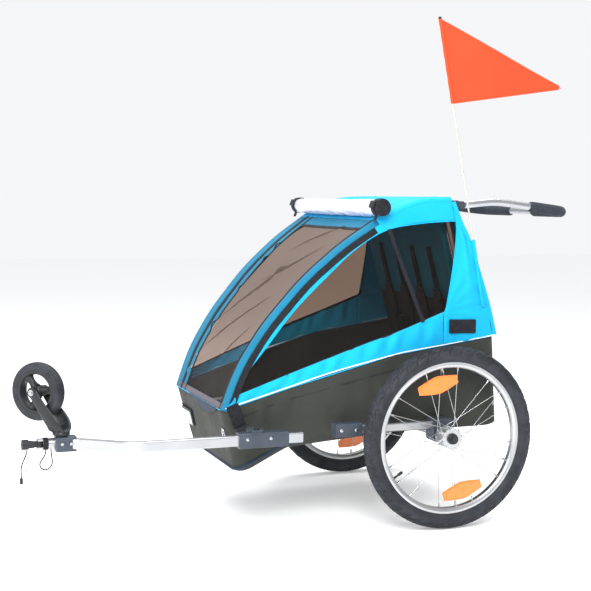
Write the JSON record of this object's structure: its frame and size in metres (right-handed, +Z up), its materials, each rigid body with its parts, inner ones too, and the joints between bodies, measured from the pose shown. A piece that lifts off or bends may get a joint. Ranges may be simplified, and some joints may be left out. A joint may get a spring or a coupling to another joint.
{
  "type": "child bicycle trailer",
  "caption": "Enclosed child trailer for towing behind a bicycle, with a folding tube frame, fabric cabin, spoked wheels, side tow arm, stowed caster, push bar and flag.",
  "frame": {"origin": "on the ground, under the middle of the whole trailer; the axle line is 0.346 m behind it", "axes": "+X forward, the way the trailer is towed; +Y to the trailer's left, where the tow arm is; +Z up"},
  "size_m": [1.5641, 0.8, 1.3674],
  "materials": {
    "frame_tube": "satin anodised tube",
    "arm_tube": "satin silver",
    "dark_plastic": "dark slate moulded plastic",
    "axle_steel": "plated steel",
    "rim_alloy": "satin rim",
    "tyre_rubber": "black rubber",
    "orange_reflector": "moulded prisms",
    "white_reflector": "moulded prisms",
    "blue_fabric": "coated woven polyester",
    "mesh_fabric": "open mesh",
    "tub_fabric": "coated woven polyester",
    "seat_fabric": "padded polyester",
    "black_webbing": "woven webbing",
    "clear_cover": "rolled clear film",
    "grip_foam": "foam",
    "pole_fibre": "glass fibre rod",
    "pennant_fabric": "thin nylon"
  },
  "bodies": {
    "chassis": {"base_frame": "frame_tube", "left_side_rail": "frame_tube", "right_side_rail": "frame_tube", "rail_brackets": "dark_plastic", "axle_beam": "frame_tube", "axle_receivers": "dark_plastic", "left_axle": "axle_steel", "right_axle": "axle_steel", "tub": "tub_fabric", "seat_bars": "frame_tube", "seat_cushion": "seat_fabric", "front_reflector": "white_reflector", "front_pivot_brackets": "frame_tube", "rear_pivot_brackets": "frame_tube", "tow_arm_receiver": "dark_plastic"},
    "arm_button": {"arm_release_button": "dark_plastic"},
    "left_axle_button": {"left_axle_button": "dark_plastic"},
    "right_axle_button": {"right_axle_button": "dark_plastic"},
    "left_wheel": {"left_tyre": "tyre_rubber", "left_rim": "rim_alloy", "left_hub": "rim_alloy", "left_spokes": "axle_steel", "left_wheel_reflectors": "orange_reflector"},
    "right_wheel": {"right_tyre": "tyre_rubber", "right_rim": "rim_alloy", "right_hub": "rim_alloy", "right_spokes": "axle_steel", "right_wheel_reflectors": "orange_reflector"},
    "tow_arm": {"tow_arm": "arm_tube", "caster_clamp": "dark_plastic", "hitch_block": "arm_tube", "safety_loop": "black_webbing"},
    "caster_fork": {"caster_fork": "dark_plastic", "caster_axle": "axle_steel"},
    "caster_wheel": {"caster_wheel": "dark_plastic", "caster_tyre": "tyre_rubber"},
    "hitch_knuckle": {"hitch_knuckle": "dark_plastic"},
    "hitch_head": {"hitch_head": "dark_plastic", "strap_tail": "black_webbing", "strap_clip": "dark_plastic"},
    "canopy_frame": {"left_bow": "frame_tube", "right_bow": "frame_tube", "roof_crossbar": "frame_tube", "front_mesh": "mesh_fabric", "roof_panel": "blue_fabric", "left_side_panel": "blue_fabric", "right_side_panel": "blue_fabric", "rolled_cover": "clear_cover", "cover_straps": "black_webbing", "flag_sleeve": "blue_fabric"},
    "rear_hoop": {"rear_hoop": "frame_tube", "rear_panel": "blue_fabric", "seat_back": "seat_fabric", "harness_straps": "black_webbing", "handlebar_mounts": "dark_plastic"},
    "handlebar": {"handlebar": "arm_tube", "handlebar_grips": "grip_foam"},
    "flag": {"flag_pole": "pole_fibre", "pennant": "pennant_fabric"}
  },
  "joints": [
    {"name": "left_wheel_spin", "type": "hinge", "parent": "chassis", "child": "left_wheel", "pos_m": [-0.346, 0.365, 0.248], "axis": [0, 1, 0], "continuous": true},
    {"name": "right_wheel_spin", "type": "hinge", "parent": "chassis", "child": "right_wheel", "pos_m": [-0.346, -0.365, 0.248], "axis": [0, 1, 0], "continuous": true},
    {"name": "left_axle_release", "type": "slide", "parent": "chassis", "child": "left_axle_button", "axis": [0, -1, 0], "range_m": [0, 0.0035], "stiffness_N_per_m": 400, "springref_m": -0.002},
    {"name": "right_axle_release", "type": "slide", "parent": "chassis", "child": "right_axle_button", "axis": [0, 1, 0], "range_m": [0, 0.0035], "stiffness_N_per_m": 400, "springref_m": -0.002},
    {"name": "arm_release", "type": "slide", "parent": "chassis", "child": "arm_button", "axis": [0, 0, -1], "range_m": [0, 0.003], "stiffness_N_per_m": 400, "springref_m": -0.002},
    {"name": "tow_arm_slide", "type": "slide", "parent": "chassis", "child": "tow_arm", "axis": [1, 0, 0], "range_m": [0, 0.14]},
    {"name": "caster_swivel", "type": "hinge", "parent": "tow_arm", "child": "caster_fork", "pos_m": [0.668, 0.214, 0.292], "axis": [0, 0, 1], "continuous": true},
    {"name": "caster_spin", "type": "hinge", "parent": "caster_fork", "child": "caster_wheel", "pos_m": [0.71663, 0.16365, 0.392], "axis": [0.7193, 0.6947, 0], "continuous": true},
    {"name": "hitch_yaw", "type": "hinge", "parent": "tow_arm", "child": "hitch_knuckle", "pos_m": [0.721, 0.206, 0.265], "axis": [0, 0, 1], "range_deg": [-40, 40]},
    {"name": "hitch_pitch", "type": "hinge", "parent": "hitch_knuckle", "child": "hitch_head", "pos_m": [0.74, 0.206, 0.265], "axis": [0, 1, 0], "range_deg": [-25, 25]},
    {"name": "canopy_fold", "type": "hinge", "parent": "chassis", "child": "canopy_frame", "pos_m": [0.228, 0, 0.352], "axis": [0, -1, 0], "range_deg": [0, 22], "deforming": ["front_mesh", "roof_panel", "left_side_panel", "right_side_panel"]},
    {"name": "rear_hoop_fold", "type": "hinge", "parent": "chassis", "child": "rear_hoop", "pos_m": [-0.528, 0, 0.318], "axis": [0, 1, 0], "range_deg": [0, 62], "deforming": ["rear_panel", "seat_back", "harness_straps"]},
    {"name": "handlebar_tilt", "type": "hinge", "parent": "rear_hoop", "child": "handlebar", "pos_m": [-0.426, 0, 0.871], "axis": [0, -1, 0], "range_deg": [-35, 65]},
    {"name": "flag_lift", "type": "slide", "parent": "canopy_frame", "child": "flag", "axis": [0.1865, 0, 0.9825], "range_m": [0, 0.17]}
  ]
}
